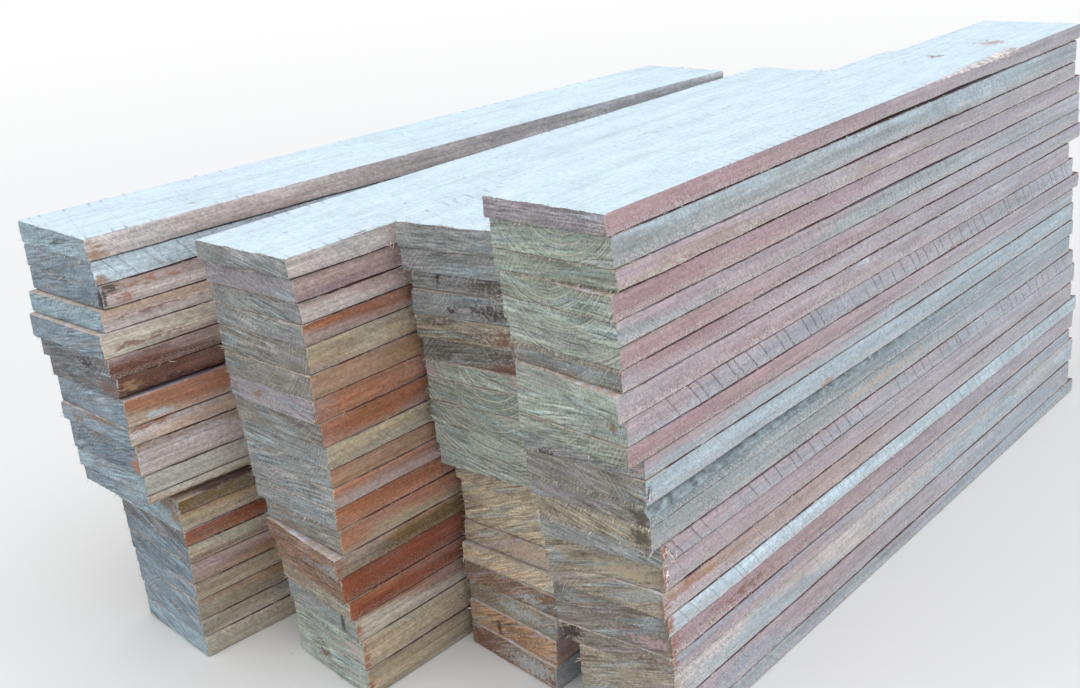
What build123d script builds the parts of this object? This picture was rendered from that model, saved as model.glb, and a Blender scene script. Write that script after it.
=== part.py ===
from build123d import *
from collections import namedtuple
from math import asin, cos, degrees, hypot, radians, sqrt, tan
import os

# A stack of rough-sawn boards, in millimetres. Four piles stand side by side, and in each pile every
# board lies flat on the next. X runs across the piles, Y along the boards away from their near ends,
# and Z up from the ground.

# A board of a pile. thicker is how much thicker it came off the saw than the setting, set_back is how far
# its near right corner lies behind the pile's near line, and skew is how much further back its near left
# corner lies. longer is what its length has over the pile's, and without it the length is a scattered one.
# lift is the daylight under its near end, narrower is what its left edge lacks of the pile's width, and
# wane is the log's round left along one edge.
Board = namedtuple("Board", "thicker set_back skew longer lift narrower wane", defaults=(None, 0, 0, None))

# A wane: the edge it is on, its breadth on the wide face, its rise on the narrow face, and the end of the
# board where it is fullest. past_knot is the run at the far end that is square again, past a knot.
Wane = namedtuple("Wane", "side face breadth rise fullest past_knot", defaults=(0,))

# A pile: the width and length of its boards, how far its near line lies behind that of the fourth pile,
# the gap between its near end and the pile on its right, and its boards from the top down
Pile = namedtuple("Pile", "width length near_line gap boards")

# Sizes that all the piles share: what the saw was set to, what the log measured at its thin end and how
# much more at its thick one, the run over which a lifted end comes down, and the gap where piles touch
saw_thickness = 26.0
saw_width = 150.0
cut_length = 1130.0
log_radius = 170.0
log_growth = 13.0
lift_run = 115.0
touch_gap = 0.3

# How far the boards' right edges and far ends differ, and the shares of it that one course after another
# takes. Both repeat after a few courses, out of step.
edge_scatter = 1.6
length_scatter = 24.0
edge_shares = [0, 0.5, 1, 0.25, 0.75]
length_shares = [0, 0.75, 0.25, 1, 0.5]

# The fourth pile stands square, and is the nearest on the right
fourth_pile = Pile(
    width=saw_width - 2.0,
    length=cut_length + 2.0,
    near_line=0.0,
    gap=0.0,
    boards=[
        Board(-4, 0, 2, 0, wane=Wane("right", "top", 9.0, 6.0, "far", 228.0)),
        Board(5, 6, 3, -18),
        Board(-3, 10, 0, -24, lift=3.0),
        Board(0, 2, 15, 9),
        Board(-1, 6, 12, 6),
        Board(-3, 11, 13, 8),
        Board(-4, 10, 18, 18),
        Board(2, 0, 28, -17, lift=1.5),
        Board(2, 14, 13, -7),
        Board(-4, 12, 15, 23),
        Board(-4, 39, -8, -21),
        Board(2, 38, -5, -16),
        Board(-2, 40, -3, -16, wane=Wane("right", "top", 11.0, 16.0, "near")),
        Board(2, 43, 2, -25),
        Board(-1, 58, -12, -23),
        Board(4, 62, -12, -12),
        Board(3, 58, -5),
        Board(-2, 64, -6),
        Board(2, 70, -9),
        Board(-5, 70, -10, wane=Wane("left", "bottom", 24.0, 13.0, "near")),
        Board(12, 72, -10, narrower=28.0),
        Board(11, 74, -12, narrower=28.0),
        Board(-4, 76, -12, narrower=28.0),
    ],
)

# The third pile was laid in two goes: its upper boards lie parallel to the fourth pile, and its lower
# boards lean towards it
upper_third_pile = Pile(
    width=saw_width,
    length=cut_length + 6.0,
    near_line=71.0,
    gap=28.0,
    boards=[
        Board(3, 0, -20),
        Board(1, 4, -20),
        Board(-3, 12, -16),
        Board(3, 15, -22),
        Board(2, 15, -20),
        Board(2, 20, -18),
        Board(-5, 13, -10),
        Board(2, 13, -10),
        Board(1, 13, -10),
        Board(3, 15, -9),
        Board(1, 16, -6),
    ],
)
lower_third_pile = Pile(
    width=saw_width,
    length=cut_length + 6.0,
    near_line=83.0,
    gap=28.0,
    boards=[
        Board(1, 13, 2),
        Board(4, 19, 3),
        Board(1, 25, -2),
        Board(1, 21, -1),
        Board(-2, 16, -3),
        Board(1, 13, 2),
        Board(1, 9, 10),
        Board(5, 5, 12),
        Board(5, 0, 16),
    ],
)

second_pile = Pile(
    width=saw_width + 1.0,
    length=cut_length - 2.0,
    near_line=-81.0,
    gap=18.0,
    boards=[
        Board(-2, 0, -3, lift=2.5),
        Board(1, 5, -1, lift=2.5),
        Board(-3, 9, -2),
        Board(-2, 8, 0),
        Board(6, 10, -1),
        Board(2, 9, 1),
        Board(2, 9, 3),
        Board(3, 14, 1),
        Board(1, 17, 1),
        Board(-3, 18, 2),
        Board(-1, 18, 3),
        Board(0, 17, 6),
        Board(5, 19, 14),
        Board(-1, 6, 24),
        Board(7, 12, 26),
        Board(0, 18, 24),
        Board(5, 25, 21),
        Board(14, 29, 21),
        Board(11, 30, 20),
    ],
)

# The first pile stands out in front of the others, on the left
first_pile = Pile(
    width=saw_width + 2.0,
    length=cut_length - 38.0,
    near_line=-167.0,
    gap=84.0,
    boards=[
        Board(1, 7, -5),
        Board(2, 10, -7),
        Board(2, 14, -10, lift=1.5),
        Board(0, 10, -13),
        Board(3, 3, -11),
        Board(-1, 6, -7),
        Board(2, 13, -8, wane=Wane("right", "bottom", 13.0, 9.0, "near")),
        Board(8, 15, -6),
        Board(-3, 15, -9),
        Board(13, 19, -7),
        Board(-1, 22, -8),
        Board(-4, 22, -4, wane=Wane("right", "bottom", 22.0, 13.0, "near")),
        Board(-9, 56, -12),
        Board(-2, 56, -2),
        Board(-6, 57, -1),
        Board(-2, 58, -1),
        Board(2, 58, 0),
        Board(-3, 58, 2),
        Board(2, 57, 4),
        Board(-3, 58, 5),
        Board(2, 59, 4),
    ],
)


def scattered(shares, course):
    """The course's share, from 0 to 1."""
    return shares[course % len(shares)]


def cut(pile, board, course):
    """The board's length."""
    if board.longer is None:
        return pile.length - length_scatter * scattered(length_shares, course)
    return pile.length + board.longer


def thickness(board):
    """The board's thickness."""
    return saw_thickness + board.thicker


def plan(board, width, length, inset):
    """The board's outline from above, with its two sawn ends out of square."""
    right = -inset
    left = board.narrower - width
    near_right = board.set_back
    near_left = board.set_back + board.skew
    return Polyline(
        (right, near_right),
        (right, near_right + length),
        (left, near_left + length),
        (left, near_left),
        close=True,
    )


def side_view(board, length):
    """The board's outline from its right, with the underside cut up at its near end if that is lifted."""
    near = board.set_back + min(board.skew, 0)
    far = board.set_back + length + max(board.skew, 0)
    underside = [(near, board.lift), (near + lift_run, 0)] if board.lift else [(near, 0)]
    return Polyline(*underside, (far, 0), (far, thickness(board)), (near, thickness(board)), close=True)


def wane_end(board, length):
    """How far back the board's wane reaches."""
    return board.set_back + length + board.skew / 2 + abs(board.skew) - board.wane.past_knot


def log(board, width, length, inset):
    """The log that the board came from, placed so that it rounds one edge of the board."""
    wane = board.wane
    chord = hypot(wane.breadth, wane.rise)
    depth = sqrt(log_radius**2 - (chord / 2) ** 2)
    across = wane.breadth / 2 + depth * wane.rise / chord
    away = wane.rise / 2 + depth * wane.breadth / chord
    x = -inset - across if wane.side == "right" else board.narrower - width + across
    z = away if wane.face == "bottom" else thickness(board) - away
    radii = [log_radius, log_radius + log_growth]
    if wane.fullest == "far":
        radii.reverse()
    reach = length + 2 * abs(board.skew)
    return Pos(x, wane_end(board, length) - reach / 2, z) * Rot(X=-90) * Cone(*radii, reach)


def sawn_board(board, width, length, inset):
    """One board in its pile's own axes, with its right edge on X = 0 and its underside on Z = 0."""
    outline = extrude(make_face(plan(board, width, length, inset)), thickness(board))
    profile = extrude(make_face(Plane.YZ * side_view(board, length)), -width)
    solid = outline & profile
    if board.wane:
        rounded = solid & log(board, width, length, inset)
        past_knot = split(solid, Plane.XZ.offset(-wane_end(board, length)), keep=Keep.BOTTOM)
        solid = rounded + past_knot if board.wane.past_knot else rounded
    return solid.solid()


def leaning(pile, neighbour):
    """The angle that swings the pile against its neighbour at the far end, about its near right corner."""
    own_end = pile.near_line + pile.length + max(b.set_back + (b.longer or 0) for b in pile.boards)
    other_reach = max(b.set_back + b.skew + (b.longer or 0) for b in neighbour.boards)
    other_end = neighbour.near_line + neighbour.length + other_reach
    shared_run = min(own_end, other_end) - pile.near_line
    return -degrees(asin((pile.gap - touch_gap) / shared_run))


def left_side(pile, x, turn, y):
    """Where the pile's left side lies at the distance y, for a pile whose near right corner is at x."""
    return x - pile.width / cos(radians(turn)) - tan(radians(turn)) * (y - pile.near_line)


def lay(pile, x, turn, first_course, ground, courses):
    """Stacks the pile's boards from the bottom up and files each one under its course."""
    height = ground
    for course, board in enumerate(reversed(pile.boards), first_course):
        inset = edge_scatter * scattered(edge_shares, course)
        solid = sawn_board(board, pile.width, cut(pile, board, course), inset)
        courses.setdefault(course, []).append(Pos(x, pile.near_line, height) * Rot(Z=turn) * solid)
        height += thickness(board)
    return height


# Each pile's near right corner and turn, from the fourth pile leftwards
fourth_x = 0.0
third_x = left_side(fourth_pile, fourth_x, 0, upper_third_pile.near_line) - upper_third_pile.gap
lower_third_turn = leaning(lower_third_pile, fourth_pile)
second_x = left_side(upper_third_pile, third_x, 0, second_pile.near_line) - second_pile.gap
second_turn = leaning(second_pile, upper_third_pile)
first_x = left_side(second_pile, second_x, second_turn, first_pile.near_line) - first_pile.gap
first_turn = second_turn + leaning(first_pile, second_pile)

courses = {}
lay(fourth_pile, fourth_x, 0, 0, 0, courses)
lower_top = lay(lower_third_pile, third_x, lower_third_turn, 0, 0, courses)
lay(upper_third_pile, third_x, 0, len(lower_third_pile.boards), lower_top, courses)
lay(second_pile, second_x, second_turn, 0, 0, courses)
lay(first_pile, first_x, first_turn, 0, 0, courses)

# The origin is on the ground, under the middle of the stack
stack = Compound([board for course in courses.values() for board in course]).bounding_box()
centred = Pos(-stack.center().X, -stack.center().Y, -stack.min.Z)

os.makedirs("parts", exist_ok=True)
for course, boards in courses.items():
    export_step(Compound([centred * board for board in boards]), f"parts/course_{course + 1:02d}.step")
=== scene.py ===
import math
from collections import namedtuple

import bpy
import numpy as np
from mathutils import Matrix, Vector


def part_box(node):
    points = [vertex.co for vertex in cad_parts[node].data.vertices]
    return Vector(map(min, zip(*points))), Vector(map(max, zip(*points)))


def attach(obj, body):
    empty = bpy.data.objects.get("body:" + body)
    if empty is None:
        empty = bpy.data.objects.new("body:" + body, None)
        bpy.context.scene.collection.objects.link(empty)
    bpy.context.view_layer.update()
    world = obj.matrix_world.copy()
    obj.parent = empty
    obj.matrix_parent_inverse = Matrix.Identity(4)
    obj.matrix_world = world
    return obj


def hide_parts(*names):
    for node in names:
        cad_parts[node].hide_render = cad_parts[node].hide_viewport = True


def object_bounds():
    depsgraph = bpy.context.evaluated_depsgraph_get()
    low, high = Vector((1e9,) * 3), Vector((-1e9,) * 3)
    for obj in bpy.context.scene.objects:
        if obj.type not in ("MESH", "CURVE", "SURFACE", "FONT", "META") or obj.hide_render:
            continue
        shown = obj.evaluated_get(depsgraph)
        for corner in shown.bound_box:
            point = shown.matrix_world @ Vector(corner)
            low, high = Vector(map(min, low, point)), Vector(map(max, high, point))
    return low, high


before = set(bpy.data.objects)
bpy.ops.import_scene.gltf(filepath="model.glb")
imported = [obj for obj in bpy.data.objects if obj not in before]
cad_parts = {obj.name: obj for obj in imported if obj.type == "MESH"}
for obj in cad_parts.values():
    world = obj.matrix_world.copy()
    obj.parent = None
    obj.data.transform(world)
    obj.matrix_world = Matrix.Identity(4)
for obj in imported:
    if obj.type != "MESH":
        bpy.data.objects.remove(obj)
cad_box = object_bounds()
mm = 0.001

# Tones of the wood and of the shade painted on it, named from the photograph, as sRGB
TONES = {
    "white": (211, 230, 242),
    "lavender": (198, 206, 230),
    "ice": (180, 196, 206),
    "pale blue": (174, 191, 204),
    "lilac": (172, 173, 185),
    "pink": (184, 167, 173),
    "rose": (180, 150, 155),
    "dusky": (172, 143, 150),
    "blush": (180, 157, 152),
    "grey": (162, 168, 170),
    "slate": (136, 151, 158),
    "cream": (190, 174, 148),
    "flesh": (208, 182, 162),
    "straw": (208, 200, 184),
    "shell": (212, 200, 197),
    "fluff": (216, 210, 206),
    "peel": (192, 176, 163),
    "fresh": (246, 220, 208),
    "madder": (140, 98, 90),
    "stone": (166, 152, 130),
    "tan": (172, 136, 104),
    "salmon": (180, 126, 98),
    "sienna": (164, 106, 74),
    "brick": (146, 78, 52),
    "umber": (114, 76, 62),
    "char": (40, 28, 27),
    "painted seam shade": (70, 50, 47),
    "painted ledge shade": (112, 80, 82),
    "ochre": (128, 102, 58),
    "rust": (166, 98, 64),
    "steel": (138, 158, 168),
    "blue grey": (122, 137, 149),
    "storm": (106, 120, 132),
    "lead": (102, 104, 108),
    "flint": (124, 121, 114),
    "sage": (149, 158, 148),
    "moss": (138, 145, 132),
    "mauve": (140, 134, 139),
    "ash": (133, 136, 135),
    "drab": (143, 134, 117),
    "taupe": (124, 116, 108),
    "clay": (128, 100, 80),
    "mould": (78, 70, 62),
    "bark": (92, 92, 86),
}

# A board's looks: the tones of the upper and lower parts of its long edges, the tone of its ends, how
# strongly saw marks cross its edges, how strongly arcs show on its ends, and the tone of its wane
Look = namedtuple("Look", "upper lower end marks rings skin", defaults=(0.15, 0.3, "bark"))

# Each pile's boards from the top down, the first pile on the left
LOOKS = [
    [
        Look("shell", "shell", "steel"),
        Look("white", "white", "blue grey", 0.6),
        Look("blush", "shell", "blue grey"),
        Look("flesh", "shell", "steel"),
        Look("straw", "blush", "blue grey"),
        Look("blush", "umber", "lead"),
        Look("umber", "umber", "lead", skin="umber"),
        Look("salmon", "flesh", "blue grey"),
        Look("shell", "flesh", "blue grey"),
        Look("tan", "shell", "storm"),
        Look("straw", "straw", "steel"),
        Look("straw", "flesh", "blue grey", skin="cream"),
        Look("ochre", "ochre", "steel"),
        Look("tan", "cream", "steel"),
        Look("brick", "sienna", "lead"),
        Look("cream", "tan", "storm"),
        Look("blush", "tan", "storm"),
        Look("stone", "cream", "blue grey"),
        Look("tan", "stone", "blue grey"),
        Look("stone", "straw", "blue grey"),
        Look("cream", "cream", "steel"),
    ],
    [
        Look("shell", "shell", "ash"),
        Look("blush", "rose", "mauve"),
        Look("blush", "shell", "ash"),
        Look("sienna", "blush", "ash"),
        Look("cream", "tan", "flint"),
        Look("tan", "tan", "flint"),
        Look("salmon", "sienna", "mauve"),
        Look("sienna", "salmon", "flint"),
        Look("cream", "stone", "ash"),
        Look("sienna", "tan", "ash"),
        Look("salmon", "blush", "ash"),
        Look("sienna", "salmon", "ash"),
        Look("salmon", "cream", "flint"),
        Look("tan", "ochre", "clay"),
        Look("brick", "brick", "clay"),
        Look("sienna", "brick", "drab"),
        Look("sienna", "straw", "ash"),
        Look("cream", "cream", "sage"),
        Look("stone", "cream", "sage"),
    ],
    [
        Look("pink", "rose", "ash"),
        Look("lilac", "pink", "ash"),
        Look("dusky", "rose", "ash"),
        Look("grey", "lilac", "ash"),
        Look("rose", "blush", "drab"),
        Look("dusky", "tan", "flint"),
        Look("pink", "pink", "sage", 0.2, 1.0),
        Look("blush", "rose", "moss", 0.2, 1.0),
        Look("lilac", "pink", "moss", 0.2, 0.7),
        Look("pink", "dusky", "sage", 0.2, 0.7),
        Look("rose", "pink", "sage", 0.2, 0.5),
        Look("grey", "cream", "stone"),
        Look("blush", "pink", "cream"),
        Look("tan", "rose", "cream"),
        Look("pink", "lilac", "stone"),
        Look("cream", "grey", "cream"),
        Look("salmon", "tan", "clay"),
        Look("lilac", "pink", "drab"),
        Look("rose", "tan", "tan"),
        Look("grey", "grey", "clay"),
    ],
    [
        Look("rose", "rose", "mauve", 0.1, 0.2, "shell"),
        Look("ice", "grey", "sage", 0.2, 1.0),
        Look("pink", "blush", "moss", 0.1, 0.3),
        Look("dusky", "rose", "moss", 0.1, 1.0),
        Look("pink", "grey", "sage", 0.3, 0.9),
        Look("pink", "rose", "sage", 0.2, 0.9),
        Look("dusky", "pink", "flint", 0.2, 0.4),
        Look("pink", "rose", "sage", 0.1, 0.3),
        Look("pink", "lilac", "sage", 1.0, 0.4),
        Look("rose", "dusky", "moss", 0.2, 0.4),
        Look("pink", "ice", "ash", 0.2, 0.2),
        Look("ice", "ice", "flint", 0.2, 0.3),
        Look("grey", "slate", "flint", 0.2, 0.3, "slate"),
        Look("grey", "grey", "drab", 0.3, 0.3),
        Look("pink", "lilac", "ash", 1.0, 0.2),
        Look("pink", "pink", "drab", 0.3, 0.2),
        Look("blush", "pink", "drab", 0.2, 0.2),
        Look("white", "white", "taupe", 0.5, 0.2),
        Look("dusky", "rose", "taupe", 0.3, 0.2),
        Look("lilac", "pink", "taupe", 0.3, 0.2),
        Look("shell", "ice", "drab", 0.2, 0.2),
        Look("pink", "lilac", "drab", 0.2, 0.2),
        Look("grey", "lilac", "drab", 0.2, 0.2),
    ],
]

# How much the saw scratches on the ends rise to the right, by pile, from which row down each holds
RISES = [
    {0: 0.2, 12: -0.25},
    {0: -0.2, 4: -0.05, 9: 0.1},
    {0: 0.03, 6: -0.2, 11: 0.45},
    {0: 0.03, 8: 0.15, 11: -0.2, 15: 0.3},
]
RISE_SCATTER = 0.06

# Where the middle of the arcs lies on the ends that show them: how far from the right edge and how high
# above the underside, in millimetres. Five boards of the third pile share one. On other ends it lies
# anywhere across the board, and well above or below it, in metres.
PITCH = 27
HEARTS = {(2, 6 + n): (59, 36 + PITCH * n) for n in range(5)}
HEARTS |= {(3, 1): (62, 64), (3, 3): (88, 66), (3, 4): (72, 74), (3, 5): (66, 100)}
HEARTS |= {(3, 8): (120, 50), (3, 9): (126, 74)}
HEART_ACROSS = (0.0, 0.15)
HEART_AWAY = (0.05, 0.1)

# The kinds of faces
FACE, EDGE, END = range(3)

# Stains and patches on the boards' right edges, near ends and tops. On an edge or top, along is the distance
# from the near end, and on an end that from the right edge. high is the height, or on a top the distance
# from the right edge. A stain reaches about as far as it says each way, all in millimetres.
Stain = namedtuple("Stain", "pile row along high reach_along reach_high tone strength")
EDGE_STAINS = [
    Stain(0, 0, 10, 5, 14, 16, "tan", 0.7),
    Stain(0, 1, 8, 4, 12, 9, "sienna", 0.8),
    Stain(0, 2, 12, 22, 13, 6, "mould", 0.9),
    Stain(0, 2, 3, 14, 4, 16, "char", 0.8),
    Stain(0, 2, 26, 9, 16, 9, "rust", 0.6),
    Stain(0, 2, 60, 20, 60, 6, "salmon", 0.5),
    Stain(0, 3, 60, 14, 70, 2.5, "madder", 0.8),
    Stain(0, 4, 50, 9, 60, 5, "madder", 0.7),
    Stain(0, 6, 75, 3, 45, 9, "char", 1.0),
    Stain(0, 6, 14, 14, 12, 9, "tan", 0.8),
    Stain(0, 7, 40, 7, 22, 5, "white", 0.8),
    Stain(0, 8, 30, 20, 45, 3, "sienna", 0.7),
    Stain(0, 9, 60, 34, 60, 5, "umber", 0.35),
    Stain(0, 12, 60, 8, 60, 14, "ochre", 0.7),
    Stain(1, 6, 60, 14, 90, 9, "rust", 0.4),
    Stain(1, 7, 60, 10, 90, 9, "rust", 0.45),
    Stain(1, 13, 80, 6, 60, 6, "umber", 0.4),
    Stain(1, 14, 60, 14, 90, 14, "brick", 0.7),
    Stain(3, 2, 70, 4, 90, 5, "straw", 0.5),
    Stain(3, 7, 485, 27, 14, 4, "white", 0.9),
    Stain(3, 8, 722, 2, 32, 3, "brick", 0.9),
    Stain(3, 11, 357, 2, 16, 4, "rust", 1.0),
    Stain(3, 11, 4, 14, 4, 8, "char", 0.9),
    Stain(3, 12, 130, 18, 90, 3, "white", 0.7),
    Stain(3, 13, 480, 14, 130, 3, "flesh", 0.9),
    Stain(3, 16, 60, 20, 90, 6, "tan", 0.7),
    Stain(3, 16, 48, 25, 14, 4, "rust", 0.8),
    Stain(3, 18, 140, 12, 80, 10, "clay", 0.5),
]
END_STAINS = [
    Stain(0, 5, 50, 12, 20, 8, "char", 0.7),
    Stain(0, 6, 20, 12, 25, 12, "umber", 0.6),
    Stain(0, 6, 110, 15, 20, 10, "mould", 0.5),
    Stain(0, 6, 82, 7, 12, 3, "ochre", 0.8),
    Stain(0, 2, 3, 12, 6, 14, "char", 0.9),
    Stain(0, 1, 110, 14, 20, 7, "taupe", 0.5),
    Stain(0, 8, 60, 22, 50, 6, "clay", 0.7),
    Stain(0, 8, 115, 10, 16, 9, "clay", 0.6),
    Stain(0, 9, 90, 34, 30, 6, "clay", 0.6),
    Stain(0, 9, 5, 14, 12, 12, "sienna", 0.8),
    Stain(0, 12, 20, 10, 30, 14, "clay", 0.7),
    Stain(0, 13, 10, 18, 16, 10, "ochre", 0.7),
    Stain(1, 6, 98, 14, 8, 7, "clay", 0.8),
    Stain(1, 4, 150, 14, 20, 14, "clay", 0.3),
    Stain(1, 12, 120, 8, 50, 8, "clay", 0.5),
    Stain(1, 13, 130, 12, 40, 14, "umber", 0.5),
    Stain(1, 14, 110, 12, 60, 14, "umber", 0.35),
    Stain(1, 15, 110, 12, 50, 12, "clay", 0.5),
    Stain(1, 16, 30, 12, 5, 20, "char", 0.7),
    Stain(1, 17, 20, 20, 30, 14, "blush", 0.6),
    Stain(1, 18, 90, 22, 16, 6, "umber", 0.8),
    Stain(2, 2, 40, 12, 45, 12, "mould", 0.6),
    Stain(2, 2, 112, 15, 3, 9, "char", 0.8),
    Stain(2, 3, 45, 12, 40, 12, "char", 0.6),
    Stain(2, 3, 98, 10, 8, 3, "char", 0.9),
    Stain(2, 4, 30, 12, 40, 16, "umber", 0.55),
    Stain(2, 4, 60, 10, 30, 12, "mould", 0.45),
    Stain(2, 4, 126, 20, 30, 9, "mould", 0.4),
    Stain(2, 5, 22, 4, 40, 7, "umber", 1.0),
    Stain(2, 5, 40, 16, 40, 12, "mould", 0.6),
    Stain(2, 5, 120, 10, 26, 12, "mould", 0.45),
    Stain(2, 6, 20, 12, 14, 14, "dusky", 0.6),
    Stain(2, 6, 150, 8, 26, 10, "dusky", 0.55),
    Stain(2, 14, 60, 12, 90, 16, "blush", 0.5),
    Stain(2, 15, 110, 8, 60, 14, "tan", 0.35),
    Stain(2, 16, 45, 10, 30, 10, "grey", 0.6),
    Stain(2, 17, 120, 12, 50, 12, "clay", 0.6),
    Stain(2, 17, 60, 14, 60, 9, "grey", 0.6),
    Stain(2, 18, 60, 14, 50, 16, "umber", 0.4),
    Stain(2, 18, 98, 10, 4, 12, "char", 0.8),
    Stain(2, 19, 130, 14, 40, 16, "umber", 0.6),
    Stain(2, 19, 40, 14, 50, 16, "grey", 0.7),
    Stain(3, 6, 70, 26, 90, 5, "ochre", 0.5),
    Stain(3, 8, 18, 17, 7, 7, "clay", 0.8),
    Stain(3, 10, 118, 3, 14, 4, "char", 0.8),
    Stain(3, 10, 22, 11, 12, 12, "grey", 0.6),
    Stain(3, 10, 6, 11, 9, 12, "blush", 0.6),
    Stain(3, 12, 8, 12, 18, 14, "mould", 0.8),
    Stain(3, 13, 12, 14, 14, 12, "mould", 0.9),
    Stain(3, 12, 120, 12, 50, 12, "mauve", 0.5),
    Stain(3, 15, 130, 8, 14, 8, "blue grey", 0.6),
    Stain(3, 15, 40, 12, 50, 8, "stone", 0.7),
    Stain(3, 16, 60, 16, 60, 7, "mauve", 0.5),
    Stain(3, 18, 20, 12, 50, 8, "dusky", 0.6),
    Stain(3, 19, 20, 8, 40, 10, "umber", 0.45),
    Stain(3, 19, 130, 12, 18, 10, "char", 0.8),
    Stain(3, 20, 118, 20, 10, 20, "clay", 0.6),
]
TOP_STAINS = [
    Stain(1, 0, 103, 5, 15, 2.4, "brick", 1.0),
    Stain(3, 0, 812, 78, 16, 10, "clay", 0.8),
    Stain(3, 0, 935, 50, 26, 14, "blush", 0.9),
    Stain(3, 0, 925, 72, 20, 4, "clay", 0.6),
    Stain(3, 0, 657, 36, 7, 3, "clay", 0.8),
    Stain(0, 0, 120, 60, 4, 3, "clay", 0.8),
    Stain(0, 0, 150, 30, 4, 3, "clay", 0.8),
]
# Rust runs down the near right corners of the lower boards
EDGE_STAINS += [Stain(1, row, 2, 13, 10, 20, "rust", 0.6) for row in range(13, 19)]
EDGE_STAINS += [Stain(3, row, 2, 13, 9, 20, "rust", 0.6) for row in range(14, 22)]
END_STAINS += [Stain(3, row, 2, 13, 5, 20, "clay", 0.6) for row in range(15, 22)]
STAINS = {EDGE: EDGE_STAINS, END: END_STAINS, FACE: TOP_STAINS}

# Where the seam under a board's right edge gapes: from and to where along it, and how far, in millimetres
Gape = namedtuple("Gape", "pile row start end height")
GAPES = [
    Gape(0, 0, 0, 420, 1.6),
    Gape(0, 1, 40, 500, 2.4),
    Gape(1, 1, 10, 140, 1.2),
    Gape(3, 0, 380, 920, 3.6),
    Gape(3, 1, 420, 760, 1.6),
    Gape(3, 2, 80, 420, 1.4),
    Gape(3, 3, 300, 800, 1.6),
    Gape(3, 4, 500, 820, 1.4),
    Gape(3, 7, 140, 300, 1.0),
    Gape(3, 11, 90, 420, 2.2),
    Gape(3, 14, 300, 520, 1.2),
    Gape(3, 15, 0, 90, 1.8),
    Gape(3, 21, 400, 560, 2.0),
]

# How much torn fibre lies on the long edges, by pile
TORN = [0.35, 0.3, 0.7, 1.0]

# Ends from whose lower rims long fibres hang
FRINGED = {(2, 5), (3, 2), (3, 5), (3, 6), (3, 11), (3, 12), (3, 13)}

# Long splinters on the right edges: where each one is rooted, along the board and above its underside, and
# how far it reaches along and down from there, in millimetres
Splinter = namedtuple("Splinter", "pile row along high reach_along reach_down")
SPLINTERS = [
    Splinter(1, 0, 133, 3, 8, 5),
    Splinter(1, 0, 140, 5, -3, 9),
    Splinter(1, 0, 144, 2, -4, 8),
    Splinter(3, 11, 5, 6, 1, -16),
    Splinter(3, 14, 2, 17, 3, 10),
    Splinter(3, 14, 7, 19, 4, 12),
    Splinter(3, 14, 10, 17, 17, 27),
    Splinter(3, 14, 24, 4, 1, -9),
    Splinter(3, 14, 9, 20, -7, 5),
    Splinter(3, 14, 3, 2, 11, 2),
    Splinter(3, 14, 14, 2, 10, 3),
    Splinter(3, 15, 6, 24, -5, 12),
    Splinter(3, 15, 3, 20, 5, 3),
    Splinter(3, 15, 4, 10, -3, 14),
]

# The camera stands where the photograph was taken. Its place is measured from the near right top corner
# of the fourth pile.
CAMERA_FROM_CORNER = Vector((680.0, -856.7, 298.8)) * mm
CAMERA_YAW = math.radians(41.85)
CAMERA_PITCH = math.radians(20.69)
CAMERA_ROLL = math.radians(4.38)
PHOTO_WIDTH = 1080
FOCAL_PIXELS = 1320.4
SENSOR_WIDTH = 36.0

# How far the top board's right edge lies inside that corner's line
TOP_INSET = 1.6 * mm

# Wear of the sawn wood. Its chips are mostly shallow, and its gaping seams steep at their ends.
SEAM = 0.3 * mm
TOP_SEAM = 0.03 * mm
ARRIS = 0.9 * mm
CHIP = 1.1 * mm
CHIP_POWER = 3
TEAR = 1.6 * mm
TEAR_REACH = 12 * mm
END_RELIEF = 0.4 * mm
RAGGED = 1.6 * mm
RAGGED_REACH = 2.5 * mm
SIDE_WAVE = 0.25 * mm
GAPE_REACH = 30 * mm
GAPE_POWER = 0.7

# It comes and goes in random waves: their mean and swing, and the shortest and the longest in metres
Waves = namedtuple("Waves", "mean swing shortest longest")
WAVE_COUNT = 4
SIDE_WAVES = Waves(1, 1, 0.08, 0.6)
SEAM_WAVES = Waves(1.4, 1.3, 0.06, 0.8)
GAPE_WAVES = Waves(0.8, 0.2, 0.05, 0.3)
ARRIS_WAVES = Waves(0.5, 0.4, 0.02, 0.2)
TEAR_WAVES = Waves(0.3, 1, 0.015, 0.09)
DROP_WAVES = Waves(0.1, 1, 0.012, 0.07)
RAGGED_WAVES = Waves(0.2, 1, 0.006, 0.05)

# Shares of the wear: what an arris takes of it and what the vertices beside it take, what the second row
# from the upper and lower rim of an end takes of its tear, how much of an arris's wear the rim takes, and
# how much torn and ragged rims scatter
ON_ARRIS, BESIDE_ARRIS = 0.8, 0.3
SECOND_UPPER, SECOND_LOWER = 0.5, 0.4
RIM_SIDES, RIM_BOTTOM, RIM_TOP = 0.4, 0.3, 0.5
TEAR_SCATTER = 0.4
RAGGED_SCATTER = 0.5

# Under the right edge of the board above lies a ledge in its shade, which is painted on it in a dark tone
LEDGE = 5 * mm
LEDGE_RUN = 40 * mm

# Loose fibres: how many there are along a metre of lower or upper arris, by how torn the pile is, how many
# round an end and on its lower, upper, left and right rims, how far they reach and how thick they are in
# millimetres, and how deep they are rooted
FIBRES_PER_METRE = 26
FEWEST, MORE_WHERE_TORN = 0.5, 1.5
ARRIS_SHARES = (1.0, 0.3)
FIBRES_PER_END = 40
FIBRES_PER_FRINGE = 200
LOWER, UPPER, LEFT, RIGHT = range(4)
RIM_SHARES = (0.4, 0.3, 0.15, 0.15)
ARRIS_FIBRES = (3, 10)
END_FIBRES = (3, 9)
FIBRE_THICKNESS = (0.3, 0.7)
ROOT_SHARE = 0.15
END_ROOT = 1.5 * mm
SPLINTER_WIDTH = 2.4 * mm
SPLINTER_STANDS_OUT = 1.0 * mm

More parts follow.
